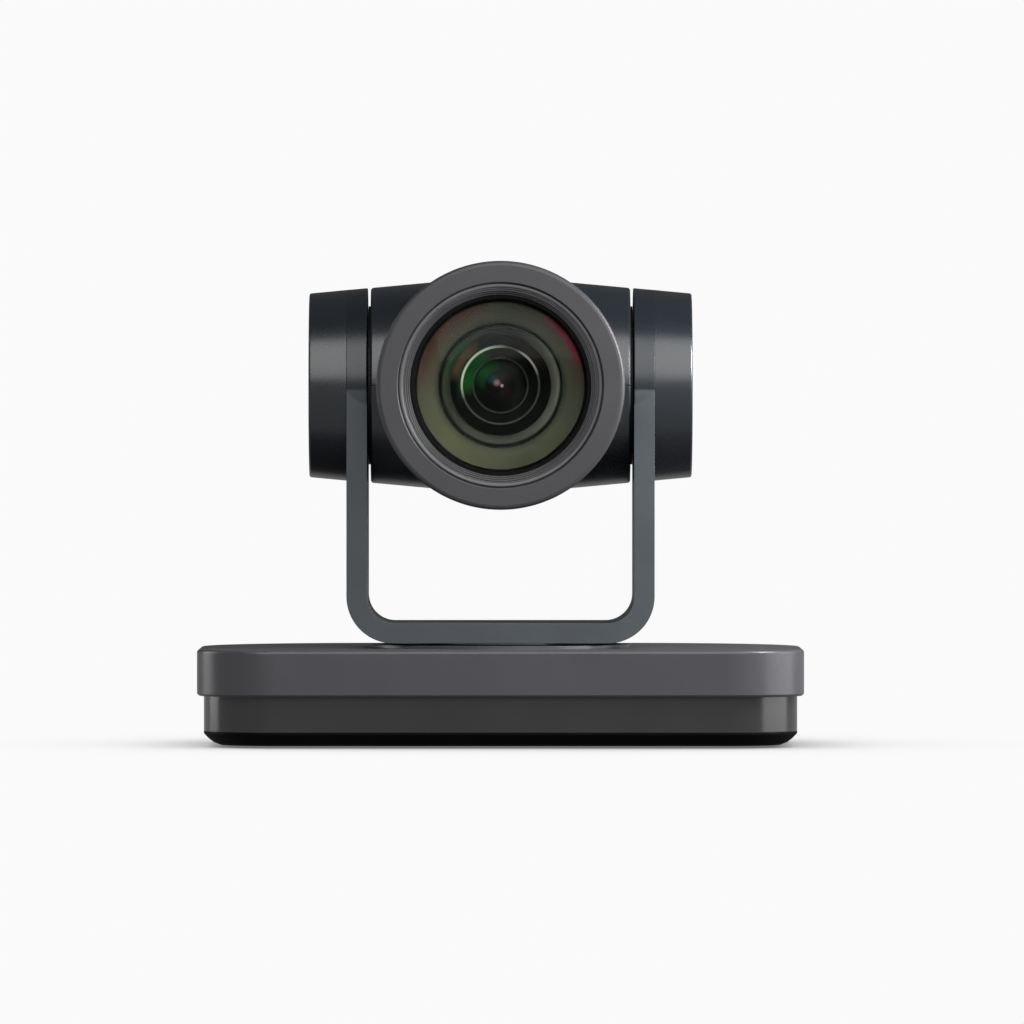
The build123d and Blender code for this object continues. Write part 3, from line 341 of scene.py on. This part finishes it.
# A soft round patch for painted reflections and highlights: 1 at its centre, falling to 0 at its radius,
# in the lens plane.
def paintedReflectionPatch(tree, place, centre, radius, softness):
    mapping = tree.nodes.new("ShaderNodeMapping")
    mapping.vector_type = "POINT"
    mapping.inputs["Location"].default_value = (-centre[0] * mm, 0, -(tiltZ + centre[1] * mm))
    mapping.inputs["Scale"].default_value = (1, 0, 1)
    tree.links.new(place, mapping.inputs["Vector"])
    length = tree.nodes.new("ShaderNodeVectorMath")
    length.operation = "LENGTH"
    tree.links.new(mapping.outputs["Vector"], length.inputs[0])
    return addRange(tree, length.outputs["Value"], 1.0, 0.0, radius * (1 - softness) * mm, radius * mm)


# A soft arc about the lens axis, the mask for painted reflections, highlights and painted shade: 1 between
# two radii and inside an angle, counted clockwise from the top, or all round when the half angle is 180.
# The angle's share comes from the cosine between a point's direction and the arc's middle.
def paintedShadeAndReflectionArc(tree, place, middle, half, inside, outside, soft):
    shifted = tree.nodes.new("ShaderNodeVectorMath")
    shifted.operation = "MULTIPLY_ADD"
    shifted.inputs[1].default_value = (1, 0, 1)
    shifted.inputs[2].default_value = (0, 0, -tiltZ)
    tree.links.new(place, shifted.inputs[0])
    length = tree.nodes.new("ShaderNodeVectorMath")
    length.operation = "LENGTH"
    tree.links.new(shifted.outputs["Vector"], length.inputs[0])
    unit = tree.nodes.new("ShaderNodeVectorMath")
    unit.operation = "NORMALIZE"
    tree.links.new(shifted.outputs["Vector"], unit.inputs[0])
    towards = tree.nodes.new("ShaderNodeVectorMath")
    towards.operation = "DOT_PRODUCT"
    towards.inputs[1].default_value = (math.sin(math.radians(middle)), 0, math.cos(math.radians(middle)))
    tree.links.new(unit.outputs["Vector"], towards.inputs[0])
    if half < 180:
        edges = math.cos(math.radians(half)), math.cos(math.radians(half * 0.45))
        angle = addRange(tree, towards.outputs["Value"], 0.0, 1.0, *edges)
    else:
        angle = 1.0
    radius = length.outputs["Value"]
    rise = addRange(tree, radius, 0.0, 1.0, (inside - soft) * mm, (inside + soft) * mm)
    fall = addRange(tree, radius, 1.0, 0.0, (outside - soft) * mm, (outside + soft) * mm)
    return addMath(tree, "MULTIPLY", angle, addMath(tree, "MULTIPLY", rise, fall))


# A lens face seen deep in the barrel: its own colour, with painted reflections of the coatings,
# painted highlights and painted shade laid on as soft patches and arcs fixed to the glass.
def opticWithPaintedLight(name, look):
    material = bpy.data.materials.new(name)
    tree, shader = nodeGroup(material)
    place = tree.nodes.new("ShaderNodeTexCoord").outputs["Object"]
    cloud = addNoise(tree, place, 90.0, 3.0)
    color = look["color"]
    result = addMix(tree, addRange(tree, cloud, 0.0, 1.0, 0.35, 0.65),
                    tuple(c * 0.93 for c in color), tuple(c * 1.07 for c in color))
    # Painted reflections, highlights and shade laid over the face's own colour.
    for centre, radius, softness, paintedTone, strength in look.get("patches", ()):
        share = addMath(tree, "MULTIPLY", paintedReflectionPatch(tree, place, centre, radius, softness), strength)
        result = addMix(tree, share, result, paintedTone)
    for *arc, paintedTone, strength in look.get("arcs", ()):
        share = addMath(tree, "MULTIPLY", paintedShadeAndReflectionArc(tree, place, *arc), strength)
        result = addMix(tree, share, result, paintedTone)
    tree.links.new(result, shader.inputs["Base Color"])
    roughness = addRange(tree, cloud, look["rough"] * 0.9, look["rough"] * 1.1, 0.3, 0.7)
    tree.links.new(roughness, shader.inputs["Roughness"])
    shader.inputs["Specular IOR Level"].default_value = look.get("shine", 0.25)
    addBump(tree, shader, cloud, 0.03, 0.01 * mm)
    return material


# Painted patches: (centre x, z), radius, softness, colour, strength. Painted arcs: middle and half angle,
# inner and outer radius, softness, colour, strength. Millimetres and degrees about the lens axis. Both are
# painted light and shade.
optics = {
    "frontCap": dict(color=(0.93, 0.95, 0.90), ior=1.12, shine=0.12, haze=0.02),
    # olive: painted light, lighter at the lower left and darker at the top and right; a darker
    # painted-shade ring by the groove; painted coating reflections, reddish at the upper left and a
    # crimson crescent at the upper right.
    "olive": dict(color=(0.088, 0.094, 0.062), rough=0.50, shine=0.2, patches=(
        ((-17.0, -19.0), 19.0, 0.95, (0.118, 0.118, 0.066), 0.8),
        ((3.0, 27.0), 15.0, 0.9, (0.060, 0.062, 0.052), 0.7),
        ((26.0, -6.0), 12.0, 0.9, (0.070, 0.078, 0.062), 0.6)),
        arcs=((0.0, 180.0, 18.0, 22.7, 0.9, (0.030, 0.034, 0.026), 0.85),
              (-52.0, 50.0, 24.5, 31.0, 2.4, (0.090, 0.036, 0.030), 0.75),
              (54.5, 24.0, 27.0, 31.0, 0.5, (0.420, 0.006, 0.060), 1.0),
              (60.0, 42.0, 24.5, 31.0, 1.5, (0.100, 0.040, 0.042), 0.45))),
    "groove": dict(color=(0.020, 0.023, 0.018), rough=0.50, shine=0.15),
    # greyStep: a green painted reflection at the upper left, a darker painted-shade ring by the groove,
    # and painted highlights on the right and at the bottom.
    "greyStep": dict(color=(0.042, 0.046, 0.040), rough=0.45, shine=0.2, patches=(
        ((-15.5, 9.0), 11.0, 0.7, (0.020, 0.066, 0.028), 0.9),),
        arcs=((0.0, 180.0, 20.0, 22.0, 0.5, (0.022, 0.025, 0.020), 0.9),
              (95.0, 75.0, 17.0, 21.5, 0.5, (0.160, 0.164, 0.144), 0.8),
              (180.0, 60.0, 17.0, 21.5, 0.5, (0.080, 0.084, 0.072), 0.6))),
    # deepBlack: painted coating reflections, brown and green at the upper left, dull red at the upper
    # right and grey at the top.
    "deepBlack": dict(color=(0.0055, 0.0060, 0.0055), rough=0.40, shine=0.15,
        arcs=((-56.0, 30.0, 14.6, 17.6, 0.8, (0.150, 0.095, 0.060), 0.85),
              (-62.0, 48.0, 8.0, 14.2, 1.4, (0.020, 0.125, 0.034), 0.9),
              (52.0, 22.0, 14.4, 17.0, 0.8, (0.030, 0.018, 0.018), 0.8),
              (0.0, 24.0, 14.4, 18.0, 0.8, (0.020, 0.022, 0.024), 0.7))),
    # A dark dome with a painted green reflection at the upper left and a grey painted reflection of a
    # softbox at the lower right.
    "greenDome": dict(color=(0.006, 0.008, 0.006), rough=0.34, shine=0.05, patches=(
        ((-5.6, 4.4), 6.4, 0.8, (0.014, 0.085, 0.026), 0.85),
        ((4.6, -4.6), 6.0, 0.9, (0.020, 0.022, 0.018), 0.5))),
    # A dark retainer ring with painted glints: a faint light line all round, a bright painted highlight at
    # the upper left and a weaker one at the upper right.
    "ringBright": dict(color=(0.008, 0.009, 0.008), rough=0.35, arcs=(
        (0.0, 180.0, 13.30, 13.60, 0.06, (0.120, 0.135, 0.115), 1.0),
        (-50.0, 62.0, 13.12, 13.95, 0.08, (0.66, 0.76, 0.62), 1.0),
        (50.0, 26.0, 13.15, 13.85, 0.08, (0.46, 0.50, 0.44), 1.0))),
    "ringDim": dict(color=(0.060, 0.072, 0.060), rough=0.40),
    # pupil: painted highlights, a pink-white glint and a small white spot near the centre, a teal one at
    # the upper left and a dull red one at the lower right.
    "pupil": dict(color=(0.008, 0.006, 0.007), rough=0.30, shine=0.08, patches=(
        ((1.6, -2.4), 2.6, 0.9, (0.030, 0.014, 0.014), 0.8),
        ((-2.9, 2.2), 2.4, 0.7, (0.010, 0.075, 0.070), 0.8),
        ((-1.3, 0.9), 1.6, 0.9, (0.42, 0.24, 0.29), 0.9),
        ((0.5, -0.1), 0.7, 0.5, (0.50, 0.48, 0.48), 0.9))),
}
lensFinish = {name: opticWithPaintedLight(name, look) for name, look in optics.items() if name != "frontCap"}
lensFinish["frontCap"] = coatedGlass("frontCap", optics["frontCap"])

# The curved front glass: apex and rim ahead of the tilt axis, thickness, gap round the rim
frontGlass = {"apex": 47.4, "edge": 44.4, "thick": 0.9, "gap": 0.05}
glassR = glassRadius / mm
rimR = glassR - frontGlass["gap"]
profile = capProfile(rimR, frontGlass["apex"], frontGlass["edge"], frontGlass["thick"])
lensTurned("front_glass", profile, lensFinish["frontCap"], ["front_lens"])

# The elements and rings behind it: one turned ring each, as (forward, radius) points in
# millimetres, with the finish that it takes
stack = {
    "outer_element": ([(42.4, glassR - 0.2), (40.9, 27.6), (39.2, 25.0), (38.2, 22.9), (37.9, 21.9),
                       (37.2, 21.6), (36.6, 21.5), (36.6, 27.8)], "olive"),
    "element_groove": ([(37.3, 21.6), (36.2, 21.3), (35.9, 21.0), (36.2, 20.7), (35.2, 20.6),
                        (35.0, 22.0)], "groove"),
    "step_ring": ([(36.2, 20.75), (36.5, 20.3), (36.3, 19.6), (35.4, 18.6), (34.2, 17.7),
                   (33.4, 17.6), (33.2, 20.7)], "greyStep"),
    "inner_cone": ([(33.6, 17.7), (31.5, 16.2), (29.6, 14.4), (28.9, 13.75), (28.0, 13.7),
                    (28.0, 17.8)], "deepBlack"),
    # The retainer's brightness is painted glints on a near-black ring.
    "bright_retainer": ([(29.3, 14.05), (29.55, 13.85), (29.55, 13.2), (29.3, 13.0), (28.4, 12.95),
                         (28.4, 14.05)], "ringBright"),
    "second_cone": ([(28.9, 13.1), (27.2, 11.6), (26.0, 10.0), (25.6, 9.75), (25.0, 9.75),
                     (25.0, 13.2)], "deepBlack"),
    "dim_retainer": ([(25.9, 9.8), (26.1, 9.65), (26.1, 9.45), (25.9, 9.3), (25.2, 9.25),
                      (25.2, 9.8)], "ringDim"),
    "green_element": (capProfile(9.35, 27.0, 24.8, 0.8), "greenDome"),
    "pupil_element": (capProfile(5.2, 28.1, 27.0, 0.6), "pupil"),
}
for name, (profile, finish) in stack.items():
    lensTurned(name, profile, lensFinish[finish])
print("stage 3: lens stack")

# Caps in the wells of the head's four case screws. The outer face follows the drum: below a point
# (x, y) it lies at tiltZ - sqrt((radius - taper |x|)^2 - y^2). The inner face is the same, raised.
screwCaps = {"x": 35.0, "front": -18.0, "back": 20.0, "radius": 2.26, "thick": 1.0, "sunk": 0.05,
             "drum": 38.4, "taper": 0.09}


def drumCap(look, x0, y0, rings=6, around=40):
    angle = np.linspace(0, 2 * np.pi, around, endpoint=False)
    outward = np.linspace(0, look["radius"], rings)
    r = np.concatenate([outward, outward[::-1]])[:, None]
    rise = np.concatenate([np.full(rings, look["sunk"]), np.full(rings, look["thick"])])[:, None]
    x = x0 + r * np.cos(angle)
    y = y0 + r * np.sin(angle)
    z = rise - np.sqrt((look["drum"] - look["taper"] * np.abs(x)) ** 2 - y ** 2)
    return np.stack([x * mm, y * mm, tiltZ + z * mm], -1)


wells = [(side * screwCaps["x"], screwCaps[end]) for side in (-1, 1) for end in ("front", "back")]
makePiece("screw_caps", [drumCap(screwCaps, x, y) for x, y in wells], False, True,
          "head", materials["drumGrey"])

# Spring contacts of the network socket. Each is a round wire swept along the curve
# (1-t)^2 A + 2t(1-t) B + t^2 C in the plane x = constant, from the socket's roof backwards and down.
netContacts = {"count": 8, "pitch": 1.016, "wire": 0.20,
               "curve": ((51.0, 19.9), (49.6, 17.9), (40.6, 14.6))}


# A round wire along a path of (x, y, z) points: at each point a circle, radius * (side cos a +
# over sin a), where side is square to the path's plane and over lies in it. Both ends are closed.
def wireAlong(path, radius, sideways, around=10):
    path = np.array(path, float)
    along = np.gradient(path, axis=0)
    along /= np.linalg.norm(along, axis=1)[:, None]
    side = np.tile(np.array(sideways, float), (len(path), 1))
    over = np.cross(along, side)
    angle = np.linspace(0, 2 * np.pi, around, endpoint=False)
    ring = side[:, None] * np.cos(angle)[None, :, None] + over[:, None] * np.sin(angle)[None, :, None]
    tube = path[:, None] + radius * ring
    ends = [np.tile(path[k], (1, around, 1)) for k in (0, -1)]
    return np.concatenate([ends[0], tube, ends[1]]) * mm


def contactWires(look, centre):
    steps = 24
    t = np.linspace(0, 1, steps)[:, None]
    a, b, c = (np.array(p) for p in look["curve"])
    bend = (1 - t) ** 2 * a + 2 * t * (1 - t) * b + t ** 2 * c
    wires = []
    for i in range(look["count"]):
        x = centre + (i - (look["count"] - 1) / 2) * look["pitch"]
        wires.append(wireAlong(np.hstack([np.full((steps, 1), x), bend]), look["wire"], (1, 0, 0)))
    return wires


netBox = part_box("lan_socket")
netCentre = (netBox[0].x + netBox[1].x) / 2 / mm
makePiece("network_contacts", contactWires(netContacts, netCentre), False, True,
          "base", materials["contactGold"])


# Rounded pads: |x/a|^n + |y/b|^n + |z/c|^n = 1 with n near 5, from the powers of cosines and sines.
def roundedPad(centre, half, turn=0.0, power=0.4, rows=14, around=36):
    def signed(v):
        return np.sign(v) * np.abs(v) ** power

    high = np.linspace(-np.pi / 2, np.pi / 2, rows)[:, None]
    angle = np.linspace(0, 2 * np.pi, around, endpoint=False)[None, :]
    u = half[0] * signed(np.cos(high)) * signed(np.cos(angle))
    w = half[1] * signed(np.cos(high)) * signed(np.sin(angle))
    deep = half[2] * signed(np.sin(high)) + 0 * angle
    x = centre[0] + u * math.cos(turn) - w * math.sin(turn)
    z = centre[2] + u * math.sin(turn) + w * math.cos(turn)
    return np.stack([x, centre[1] + deep, z], -1) * mm


# Two indicator windows beside the network socket's latch, each (half width, half height, depth)
netLights = {"aside": 5.3, "height": 10.1, "half": (1.45, 0.85, 0.35), "sunk": 0.15}
netFace = netBox[1].y / mm - netLights["sunk"]
pads = [roundedPad((netCentre + way * netLights["aside"], netFace, netLights["height"]), netLights["half"])
        for way in (-1, 1)]
makePiece("network_lights", pads, False, True, "base", materials["lampAmber"])

# Ticks round the format dial, sixteen of them, each a pad turned to point at the dial's centre
dialTicks = {"count": 16, "radius": 4.75, "half": (0.42, 0.12, 0.12)}
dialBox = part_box("format_dial")
dialCentre = [(a + b) / 2 / mm for a, b in zip(dialBox[0], dialBox[1])]
ticks = []
for k in range(dialTicks["count"]):
    turn = 2 * math.pi * k / dialTicks["count"]
    spot = (dialCentre[0] + dialTicks["radius"] * math.cos(turn), bayFace / mm,
            dialCentre[2] + dialTicks["radius"] * math.sin(turn))
    ticks.append(roundedPad(spot, dialTicks["half"], turn))
makePiece("dial_ticks", ticks, False, True, "base", materials["gearWhite"])
print("stage 4: screw caps and rear panel details")

# Woven dust mesh behind the head's vents. Wires lie on the drum's inner wall,
# y = sqrt((inner radius - taper |x|)^2 - z^2), and wave over and under each other:
# y changes by wave * cos(pi s / pitch), s along the wire, with neighbours in opposite step.
dustMesh = {"halfWidth": 22.5, "low": 8.0, "high": 22.0, "pitch": 1.0, "wire": 0.16, "wave": 0.15,
            "inner": 34.8, "taper": 0.09}


def meshWires(look):
    def wall(x, z):
        return np.sqrt((look["inner"] - look["taper"] * np.abs(x)) ** 2 - z ** 2)

    pitch = look["pitch"]
    wires = []
    acrossCount = int(2 * look["halfWidth"] / pitch) + 1
    upCount = int((look["high"] - look["low"]) / pitch) + 1
    for i in range(acrossCount):
        x = -look["halfWidth"] + i * pitch
        z = np.linspace(look["low"], look["high"], 4 * upCount)
        y = wall(x, z) + look["wave"] * np.cos(np.pi * (z - look["low"]) / pitch + np.pi * i)
        path = np.stack([np.full_like(z, x), y, tiltZ / mm + z], -1)
        wires.append(wireAlong(path, look["wire"], (1, 0, 0), 6))
    for j in range(upCount):
        z = look["low"] + j * pitch
        x = np.linspace(-look["halfWidth"], look["halfWidth"], 4 * acrossCount)
        y = wall(x, z) - look["wave"] * np.cos(np.pi * (x + look["halfWidth"]) / pitch + np.pi * j)
        path = np.stack([x, y, np.full_like(x, tiltZ / mm + z)], -1)
        wires.append(wireAlong(path, look["wire"], (0, 0, 1), 6))
    return wires


makePiece("dust_mesh", meshWires(dustMesh), False, True, "head", materials["meshSteel"])
print("stage 5: dust mesh")


# A soft lamp: a glowing rectangle that faces its target.
def softLight(name, place, target, size, power):
    lamp = bpy.data.lights.new(name, "AREA")
    lamp.shape = "RECTANGLE"
    lamp.size, lamp.size_y = size
    lamp.energy = power
    holder = bpy.data.objects.new(name, lamp)
    bpy.context.scene.collection.objects.link(holder)
    holder.location = place
    holder.rotation_euler = (Vector(target) - Vector(place)).to_track_quat("-Z", "Y").to_euler()


# A place round the lens: azimuth from straight ahead towards the right, in degrees.
def placeAround(azimuth, elevation, distance):
    a, e = math.radians(azimuth), math.radians(elevation)
    flat = distance * math.cos(e)
    return flat * math.sin(a), -flat * math.cos(a), tiltZ + distance * math.sin(e)


# name: (azimuth, elevation, distance), (width, height), watts, and the point that it faces
middle = (0.0, 0.0, 0.10)
lamps = {
    "frontBox": ((6, 33, 1.7), (1.6, 1.62), 26.0, middle),
    "rightBox": ((86, 4, 1.4), (1.36, 1.0), 17.0, middle),
    "leftBox": ((-114, 4, 1.4), (0.62, 1.0), 6.8, middle),
    "armBox": ((66, 18, 0.26), (0.08, 0.08), 0.85, (0.06, 0.0, 0.10)),
}
for name, (spot, size, power, target) in lamps.items():
    softLight(name, placeAround(*spot), target, size, power)

# The room and floor are pale to the eye and dim as lights, so that the lamps shape the object.
# The last two set the reach and the darkest share of the floor's painted contact shadow.
studio = {"pale": 0.955, "roomGlow": 0.095, "floorGlow": 0.38, "floorHalf": 6.0, "floorBelow": -0.0002,
          "contact": 0.09, "contactDark": 0.16}
world = bpy.data.worlds.new("studio")
bpy.context.scene.world = world
world.use_nodes = True
worldTree = world.node_tree
seen = worldTree.nodes.new("ShaderNodeLightPath").outputs["Is Camera Ray"]
worldTree.nodes["Background"].inputs["Color"].default_value = (1, 1, 1, 1)
roomGlow = addRange(worldTree, seen, studio["roomGlow"], studio["pale"])
worldTree.links.new(roomGlow, worldTree.nodes["Background"].inputs["Strength"])

# A pale floor that glows as evenly as the room, with a soft contact shadow painted into its glow where the
# object stands.
floorMesh = bpy.data.meshes.new("floor")
floorCorners = [(x * studio["floorHalf"], y * studio["floorHalf"], studio["floorBelow"])
                for x, y in ((-1, -1), (1, -1), (1, 1), (-1, 1))]
floorMesh.from_pydata(floorCorners, [], [(0, 1, 2, 3)])
floor = bpy.data.objects.new("floor", floorMesh)
bpy.context.scene.collection.objects.link(floor)
floorPaint = bpy.data.materials.new("floorPaint")
floorPaint.use_nodes = True
floorTree = floorPaint.node_tree
floorTree.nodes.clear()
# Ambient occlusion under and round the object gives the painted contact shadow.
shade = floorTree.nodes.new("ShaderNodeAmbientOcclusion")
shade.samples = 12
shade.inputs["Distance"].default_value = studio["contact"]
paintedTone = addRange(floorTree, shade.outputs["AO"], studio["contactDark"], 1.0, 0.0, 0.96)
glow = floorTree.nodes.new("ShaderNodeEmission")
glow.inputs["Color"].default_value = (1, 1, 1, 1)
seenFloor = floorTree.nodes.new("ShaderNodeLightPath").outputs["Is Camera Ray"]
bright = addRange(floorTree, seenFloor, studio["floorGlow"], studio["pale"])
floorTree.links.new(addMath(floorTree, "MULTIPLY", paintedTone, bright), glow.inputs["Strength"])
floorOut = floorTree.nodes.new("ShaderNodeOutputMaterial")
floorTree.links.new(glow.outputs["Emission"], floorOut.inputs["Surface"])
floorMesh.materials.append(floorPaint)
floor.visible_diffuse = False
floor.visible_transmission = False

# A long lens, level with the tilt axis and straight in front
cameraLook = {"away": 4.5, "lens": 450.0, "sensor": 36.0, "shift": (0.0112, -0.1237), "far": 50.0}
camera = bpy.data.objects.new("camera", bpy.data.cameras.new("camera"))
bpy.context.scene.collection.objects.link(camera)
camera.location = (0.0, -cameraLook["away"], tiltZ)
camera.rotation_euler = (math.radians(90), 0, 0)
camera.data.lens = cameraLook["lens"]
camera.data.sensor_width = cameraLook["sensor"]
camera.data.shift_x, camera.data.shift_y = cameraLook["shift"]
camera.data.clip_end = cameraLook["far"]
bpy.context.scene.camera = camera
bpy.context.scene.view_settings.view_transform = "Standard"

print("stage 6: studio and camera")
